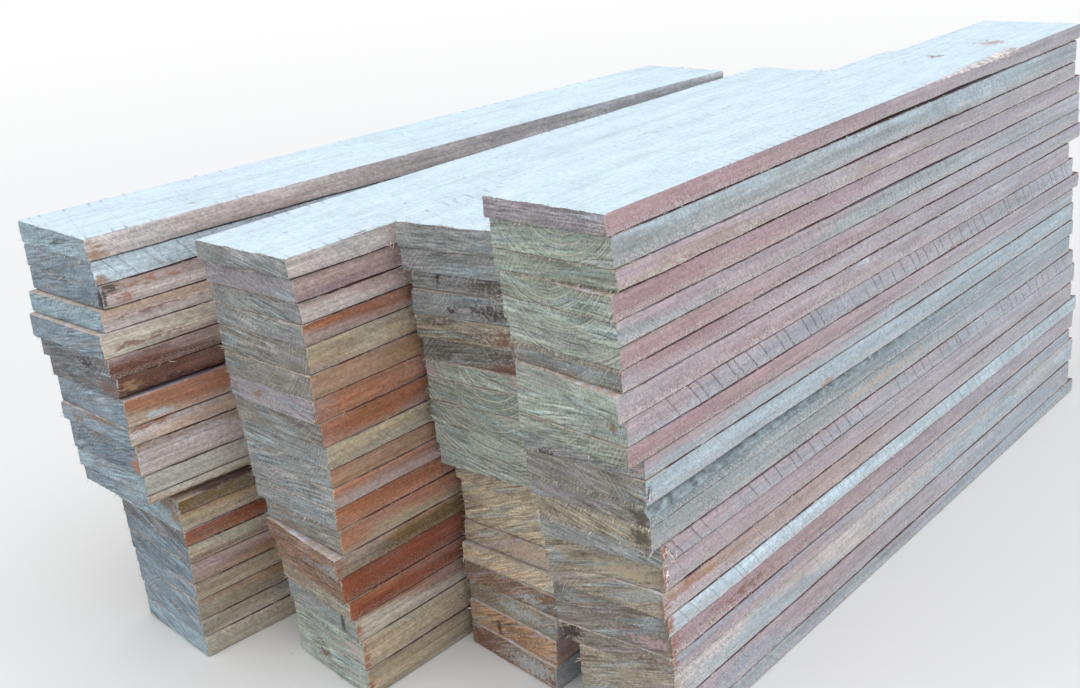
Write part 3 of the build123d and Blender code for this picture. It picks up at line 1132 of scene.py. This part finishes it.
# The studio: how far its floor reaches and lies below the stack, from where to where it fades to white, and
# its light, with each lamp's strength and the way to it
FLOOR_REACH, FLOOR_DROP = 40.0, 0.2 * mm
FLOOR_FADE = (1.0, 7.0)
FLOOR_COLOUR, FLOOR_ROUGHNESS = (0.8, 0.8, 0.8, 1.0), 0.9
SOFT_COLOUR, SOFT_STRENGTH = (0.96, 0.98, 1.0, 1.0), 0.75
WHITE = (1.0, 1.0, 1.0, 1.0)
LAMPS = {"sky": (1.05, (0.45, -0.05, 0.9)), "fill": (0.8, (-0.3, -0.9, 0.35))}
LAMP_ANGLE = math.radians(50)


class Paint:
    """A material under construction. Each call adds shader nodes and returns an output."""

    def __init__(self, name):
        self.material = bpy.data.materials.new(name)
        self.material.use_nodes = True
        self.tree = self.material.node_tree
        self.shader = self.tree.nodes["Principled BSDF"]

    def feed(self, node, inputs):
        """Sets or links a node's inputs."""
        for key, value in inputs.items():
            if isinstance(value, bpy.types.NodeSocket):
                self.tree.links.new(value, node.inputs[key])
            else:
                node.inputs[key].default_value = value

    def add(self, kind, inputs, output=0, **settings):
        """A new node with its inputs and settings."""
        node = self.tree.nodes.new("ShaderNode" + kind)
        for name, value in settings.items():
            setattr(node, name, value)
        self.feed(node, inputs)
        return node.outputs[output]

    def read(self, name, output="Fac"):
        return self.add("Attribute", {}, output, attribute_name=name)

    def math(self, operation, *values):
        return self.add("Math", dict(enumerate(values)), operation=operation)

    def times(self, *factors):
        """The product of several values."""
        product = factors[0]
        for factor in factors[1:]:
            product = self.math("MULTIPLY", product, factor)
        return product

    def line(self, value, slope, start):
        """The value times a slope, plus a start."""
        return self.math("MULTIPLY_ADD", value, slope, start)

    def about(self, noise, swing):
        """The noise made to swing about 0."""
        return self.line(noise, swing, -0.5 * swing)

    def parts(self, vector):
        """The three parts of a vector."""
        return self.add("SeparateXYZ", {0: vector}).node.outputs

    def join(self, *parts):
        return self.add("CombineXYZ", dict(enumerate(parts)))

    def length(self, vector):
        return self.add("VectorMath", {0: vector}, "Value", operation="LENGTH")

    def scale(self, colour, factor):
        return self.add("VectorMath", {0: colour, "Scale": factor}, operation="SCALE")

    def noise(self, place, name):
        """One of the named noises."""
        kind = NOISES[name]
        stretched = self.add("VectorMath", {0: place, 1: kind[:3]}, operation="MULTIPLY")
        inputs = {"Vector": stretched, "Scale": 1.0, "Detail": kind.detail, "Roughness": kind.roughness}
        return self.add("TexNoise", inputs, "Fac")

    def cells(self, place):
        """The distance from the nearest of the lines that lie unevenly, about one apart, along a place."""
        inputs = {"W": place, "Scale": 1.0, "Randomness": UNEVENNESS}
        return self.add("TexVoronoi", inputs, "Distance", voronoi_dimensions="1D")

    def step(self, value, low, high):
        """0 at low, 1 at high, and smooth between them."""
        inputs = {"Value": value, "From Min": low, "From Max": high}
        return self.add("MapRange", inputs, "Result", interpolation_type="SMOOTHSTEP")

    def fall(self, value, low, high):
        """1 at low, 0 at high, and smooth between them."""
        return self.math("SUBTRACT", 1.0, self.step(value, low, high))

    def mix(self, factor, a, b):
        """From colour a to colour b by a factor."""
        return self.add("Mix", {0: factor, 6: a, 7: b}, 2, data_type="RGBA")

    def vary(self, colour, noise, share):
        """The colour made lighter and darker by up to a share where the noise is high and low."""
        least, most = self.math("SUBTRACT", 1.0, share), self.math("ADD", 1.0, share)
        inputs = {"From Min": NOISE_RANGE[0], "From Max": NOISE_RANGE[1], "To Min": least, "To Max": most}
        return self.scale(colour, self.add("MapRange", {"Value": noise, **inputs}, "Result"))

    def ramp(self, value, name):
        """A named ramp: 0 where it sets in, 1 where it is full, and smooth between them."""
        start, full = RAMPS[name]
        return self.step(value, start, full) if start < full else self.fall(value, full, start)

    def coat(self, colour, name, *covers):
        """The colour under a named coat, which covers as far as the product of the covers says."""
        tone, share = COATS[name]
        return self.mix(self.times(*covers, share), colour, rgba(tone))

    def reach(self, distance, ragged, broad, name):
        """1 at an arris or rim, falling to 0 at the named reach from it."""
        kind = REACHES[name]
        far = self.math("ADD", self.line(ragged, *kind.ragged), self.line(broad, *kind.broad))
        return self.fall(distance, FULL_REACH, self.math("MAXIMUM", far, kind.least))

    def complete(self, colour, roughness, fields, shares, depth):
        """The material with its colour, its roughness and a relief of several fields, each by its share."""
        height = 0.0
        for name, share in shares.items():
            height = self.line(fields[name], share, height)
        bump = self.add("Bump", {"Height": height, "Distance": depth})
        self.feed(self.shader, {"Base Color": colour, "Roughness": roughness, "Normal": bump})
        return self.material


def rgba(name):
    return (*linear(name), 1.0)


def ring_field(paint, grain, bent):
    """The distance from the middle of the board's rings, bent a little."""
    x, y, z = paint.parts(grain)
    middle = paint.parts(paint.read("pith", "Vector"))
    flat = paint.join(paint.math("SUBTRACT", x, middle[0]), 0.0, paint.math("SUBTRACT", z, middle[2]))
    return paint.line(paint.noise(grain, "bend"), bent, paint.length(flat))


def stained_over(paint, grain, colour):
    """The colour with the board's stains on it, ragged at their rims."""
    level = paint.math("ADD", paint.about(paint.noise(grain, "stain"), STAIN_SWING), paint.read("stain"))
    cover = paint.times(paint.ramp(level, "stain"), STAIN_SHARE)
    return paint.mix(cover, colour, paint.read("stain_tone", "Color"))


def wood_tones(paint, edge, wide, bands, mottle, patches, meander):
    """The upper and lower tones of the board under its broad coats."""
    level = paint.math("ADD", paint.read("height"), paint.about(mottle, FINE_SWING))
    level = paint.math("ADD", level, paint.about(meander, BROAD_SWING))
    upper = paint.ramp(level, "upper tone")
    colour = paint.mix(upper, paint.read("lower_tone", "Color"), paint.read("upper_tone", "Color"))
    colour = paint.coat(colour, "cold", paint.ramp(patches, "cold"), edge)
    colour = paint.coat(colour, "warm", paint.ramp(patches, "warm"), edge)
    # Painted light: a bluish sheen of skylight grows towards the far end of the long edges
    colour = paint.coat(colour, "far", paint.ramp(paint.read("from_near"), "far"), edge)
    return paint.coat(colour, "bands", paint.ramp(bands, "bands"), wide)


def saw_marked(paint, colour, grain, slant, arris, edge, wide):
    """The colour with dark lines where the saw paused, on the wide faces only along their arrises, and how
    strong the lines are."""
    lines = paint.cells(paint.times(slant, MARKS_PER_METRE))
    ripples = paint.cells(paint.times(slant, RIPPLES_PER_METRE))
    marks = paint.times(paint.ramp(paint.noise(grain, "marks"), "marks"), paint.read("marks"))
    kerf = paint.times(paint.ramp(lines, "kerf"), marks)
    toothed = paint.ramp(paint.noise(grain, "toothed"), "toothed")
    ripple = paint.times(paint.ramp(ripples, "ripples"), paint.line(marks, *RIPPLES_BY_MARKS), edge)
    colour = paint.scale(colour, paint.line(kerf, MARK_DARKENS, 1.0))
    colour = paint.scale(colour, paint.line(ripple, RIPPLE_DARKENS, 1.0))
    ticks = paint.times(paint.ramp(arris, "by arris"), paint.ramp(lines, "ticks"), wide, toothed)
    colour = paint.coat(colour, "ticks", ticks)
    return paint.coat(colour, "specks", paint.ramp(paint.noise(grain, "specks"), "specks"), wide), kerf


def fuzzy(paint, colour, hair, height, patches, torn, edge):
    """The colour with torn fibres that stand up in pale flecks, most of all low on the edges, and how strong
    the flecks are."""
    more = paint.line(paint.ramp(height, "low down"), LOW_FUZZ, paint.times(patches, PATCHY_FUZZ))
    fuzz = paint.times(paint.ramp(paint.math("ADD", hair, more), "fuzz"), edge)
    pale = paint.mix(FUZZ_STRAW, paint.read("upper_tone", "Color"), rgba("straw"))
    pale = paint.mix(torn, pale, rgba("fluff"))
    return paint.mix(paint.times(fuzz, paint.line(torn, *FUZZ_BY_TORN)), colour, pale), fuzz


def barked(paint, colour, grain, bare):
    """The colour with bark or a weathered skin on the wane, and how far its scallops stand out."""
    skin = paint.noise(grain, "skin")
    waney = paint.times(paint.ramp(paint.line(skin, BARK_NOISE, paint.read("wane")), "bark"), bare)
    scallops = paint.noise(grain, "scallops")
    bark = paint.vary(paint.read("skin_tone", "Color"), skin, BARK_CONTRAST)
    bark = paint.vary(bark, scallops, SCALLOPS_CONTRAST)
    return paint.mix(paint.times(waney, BARK_SHARE), colour, bark), paint.times(scallops, waney)


def sawn_wood():
    """The long edges and wide faces: streaks along the grain, saw marks, raised fibres, and painted shade in
    the seams and on the undersides.
    """
    paint = Paint("rough_sawn_wood")
    grain = paint.read("grain", "Vector")
    x, y, z = paint.parts(grain)
    wide, height, arris, torn = (paint.read(name) for name in ("wide", "height", "arris", "torn"))
    edge = paint.math("SUBTRACT", 1.0, wide)

    # Saw marks slant across the long edges, and run almost straight across the wide faces. Broad streaks
    # follow the growth rings, finer ones the fibres, and a nap the saw marks.
    slant = paint.line(z, paint.line(edge, EDGE_LEAN, WIDE_LEAN), paint.line(x, ACROSS_LEAN, y))
    by_marks = paint.join(slant, paint.math("SUBTRACT", z, y), x)
    by_rings = paint.join(ring_field(paint, grain, RING_BEND), y, 0.0)
    fields = {name: paint.noise(grain, name) for name in ("streaks", "grit", "mottle")}
    fields |= {"bands": paint.noise(by_rings, "bands"), "nap": paint.noise(by_marks, "nap")}
    mottle, patches = fields["mottle"], paint.noise(grain, "patches")

    colour = wood_tones(paint, edge, wide, fields["bands"], mottle, patches, paint.noise(grain, "meander"))
    brushed = paint.line(paint.ramp(patches, "brushed"), *NAP_BY_BRUSHED)
    contrast = WOOD_CONTRAST | {"nap": paint.times(brushed, paint.line(torn, *NAP_BY_TORN))}
    on_edge, on_wide = paint.times(edge, paint.line(torn, *EDGE_BY_TORN)), paint.times(wide, WIDE_DEPTH)
    depth = paint.math("ADD", on_edge, on_wide)
    for name, share in contrast.items():
        colour = paint.vary(colour, fields[name], paint.times(depth, share))
    colour = stained_over(paint, grain, colour)
    wavering = paint.line(mottle, MARK_BEND, slant)
    colour, fields["kerf"] = saw_marked(paint, colour, grain, wavering, arris, edge, wide)

    # Painted shade: the arrises are darkened where two boards meet, and so is an underside, but not its wane
    ragged, broad = paint.noise(grain, "ragged seam"), paint.noise(grain, "open seam")
    colour = paint.coat(colour, "seam", paint.reach(arris, ragged, broad, "seam"), edge)
    bare = paint.ramp(paint.read("wane"), "bare")
    under = paint.ramp(height, "underside"), wide, paint.math("SUBTRACT", 1.0, bare)
    colour = paint.coat(colour, "underside", *under)

    hair = paint.noise(by_marks, "hair")
    colour, fields["fuzz"] = fuzzy(paint, colour, hair, height, patches, torn, edge)
    colour, fields["bark"] = barked(paint, colour, grain, bare)
    return paint.complete(colour, paint.line(mottle, *WOOD_ROUGHNESS), fields, WOOD_BUMPS, WOOD_DEPTH)


def arcs_on(paint, colour, grain, mottle):
    """The colour with arcs of light and dark round a middle that may lie outside the board, and how strong
    the light ones are."""
    arcs = paint.noise(paint.join(ring_field(paint, grain, ARC_BEND), 0.0, 0.0), "arcs")
    shown = paint.times(paint.read("rings"), paint.ramp(mottle, "arcs shown"))
    light = paint.times(paint.ramp(arcs, "light arcs"), shown)
    dark = paint.times(paint.ramp(arcs, "dark arcs"), shown)
    colour = paint.coat(colour, "arcs", light)
    return paint.scale(colour, paint.line(dark, ARC_DARKENS, 1.0)), light


def end_rims(paint, colour, grain, height):
    """The colour with pale torn fibres and a painted highlight along the upper rim, and below them painted
    shade in the gaps with a few fibres across, and how strong the pale ones are."""
    rim = paint.read("rim")
    ragged, broad = paint.noise(grain, "ragged rim"), paint.noise(grain, "torn rim")
    pale = paint.times(paint.reach(rim, ragged, broad, "pale rim with painted highlight"), paint.ramp(height, "upper part"))
    painted_gap_shade = paint.times(paint.reach(rim, ragged, broad, "painted rim shade"), paint.ramp(height, "lower part"))
    colour = paint.coat(colour, "pale rim with painted highlight", pale)
    return paint.coat(colour, "painted rim shade", painted_gap_shade), pale


def end_grain():
    """The sawn ends: scratches of the saw across them, arcs on some, and pale torn rims with a painted
    highlight above and painted shade below.
    """
    paint = Paint("end_grain")
    grain = paint.read("grain", "Vector")
    x, y, z = paint.parts(grain)
    fields = {name: paint.noise(grain, name) for name in ("clouds", "end mottle", "end grit")}
    mottle, clouds = fields["end mottle"], fields["clouds"]

    # The scratches rise to one side, and waver
    tilted = paint.math("SUBTRACT", z, paint.times(x, paint.read("rise")))
    tilted = paint.line(clouds, SCRATCH_BEND, paint.line(mottle, FINE_SCRATCH_BEND, tilted))
    by_saw = paint.join(x, 0.0, tilted)
    fields |= {name: paint.noise(by_saw, name) for name in ("stripes", "tints", "scratches")}

    tones = paint.read("upper_tone", "Color"), paint.read("lower_tone", "Color")
    colour = paint.mix(paint.ramp(clouds, "end tone"), *tones)
    for name, field in (("purple", "tints"), ("blue", "tints"), ("brown", "end mottle")):
        colour = paint.coat(colour, name, paint.ramp(fields[field], name))
    streaky = paint.ramp(paint.noise(grain, "calm"), "streaky")
    contrast = {"stripes": paint.line(streaky, *STRIPES_BY_STREAKY)}
    contrast["scratches"] = paint.line(streaky, *SCRATCHES_BY_STREAKY)
    for name, share in (contrast | END_CONTRAST).items():
        colour = paint.vary(colour, fields[name], share)
    colour, fields["light arcs"] = arcs_on(paint, colour, grain, mottle)
    colour = stained_over(paint, grain, colour)
    colour, fields["pale rim with painted highlight"] = end_rims(paint, colour, grain, paint.read("height"))
    return paint.complete(colour, paint.line(mottle, *END_ROUGHNESS), fields, END_BUMPS, END_DEPTH)


def sees_background(tree):
    """1 for the rays to which the background shows: the camera's, and those by way of gloss or glass."""
    ray = tree.nodes.new("ShaderNodeLightPath")
    seen = ray.outputs["Is Camera Ray"]
    for other in ("Is Glossy Ray", "Is Transmission Ray"):
        either = tree.nodes.new("ShaderNodeMath")
        either.operation = "MAXIMUM"
        tree.links.new(seen, either.inputs[0])
        tree.links.new(ray.outputs[other], either.inputs[1])
        seen = either.outputs[0]
    return seen


def shown_instead(tree, factor, shader, background, output):
    """Shows the background in the place of a shader, as far as the factor says."""
    blend = tree.nodes.new("ShaderNodeMixShader")
    tree.links.new(factor, blend.inputs[0])
    tree.links.new(shader.outputs[0], blend.inputs[1])
    tree.links.new(background.outputs[0], blend.inputs[2])
    tree.links.new(blend.outputs[0], tree.nodes[output].inputs["Surface"])


def studio():
    """A pale floor that fades to white, a white surround and soft light from above."""
    floor = bpy.data.meshes.new("floor")
    corners = [(x * FLOOR_REACH, y * FLOOR_REACH, 0) for x, y in ((-1, -1), (1, -1), (1, 1), (-1, 1))]
    floor.from_pydata(corners, [], [(0, 1, 2, 3)])
    floor_object = bpy.data.objects.new("floor", floor)
    floor_object.location.z = -FLOOR_DROP
    bpy.context.scene.collection.objects.link(floor_object)
    paint = Paint("floor")
    paint.feed(paint.shader, {"Base Color": FLOOR_COLOUR, "Roughness": FLOOR_ROUGHNESS})
    away = paint.length(paint.add("TexCoord", {}, "Object"))
    fade = paint.times(paint.step(away, *FLOOR_FADE), sees_background(paint.tree))
    white = paint.tree.nodes.new("ShaderNodeEmission")
    shown_instead(paint.tree, fade, paint.shader, white, "Material Output")
    floor.materials.append(paint.material)

    world = bpy.data.worlds.new("studio")
    bpy.context.scene.world = world
    world.use_nodes = True
    soft = world.node_tree.nodes["Background"]
    soft.inputs["Color"].default_value = SOFT_COLOUR
    soft.inputs["Strength"].default_value = SOFT_STRENGTH
    white = world.node_tree.nodes.new("ShaderNodeBackground")
    white.inputs["Color"].default_value = WHITE
    shown_instead(world.node_tree, sees_background(world.node_tree), soft, white, "World Output")

    for name, (energy, toward) in LAMPS.items():
        lamp = bpy.data.lights.new(name, "SUN")
        lamp.energy = energy
        lamp.angle = LAMP_ANGLE
        lamp_object = bpy.data.objects.new(name, lamp)
        lamp_object.rotation_euler = Vector(toward).to_track_quat("Z", "Y").to_euler()
        bpy.context.scene.collection.objects.link(lamp_object)


def camera():
    """The photograph's viewpoint."""
    low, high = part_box(sorted(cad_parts)[-1])
    corner = Vector((high.x + TOP_INSET, low.y, high.z))
    lens = bpy.data.cameras.new("camera")
    lens.sensor_width = SENSOR_WIDTH
    lens.lens = FOCAL_PIXELS / PHOTO_WIDTH * SENSOR_WIDTH
    seat = bpy.data.objects.new("camera", lens)
    turn = Matrix.Rotation(CAMERA_YAW, 4, "Z") @ Matrix.Rotation(math.pi / 2 - CAMERA_PITCH, 4, "X")
    turn = turn @ Matrix.Rotation(-CAMERA_ROLL, 4, "Z")
    seat.matrix_world = Matrix.Translation(corner + CAMERA_FROM_CORNER) @ turn
    bpy.context.scene.collection.objects.link(seat)
    bpy.context.scene.camera = seat


materials = [sawn_wood(), end_grain()]
for node, boards in find_boards().items():
    piece = make_piece(node.replace("course", "boards"), [board_mesh(board) for board in boards], materials)
    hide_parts(node)
    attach(piece, "root")
studio()
camera()
bpy.context.scene.view_settings.view_transform = "Standard"
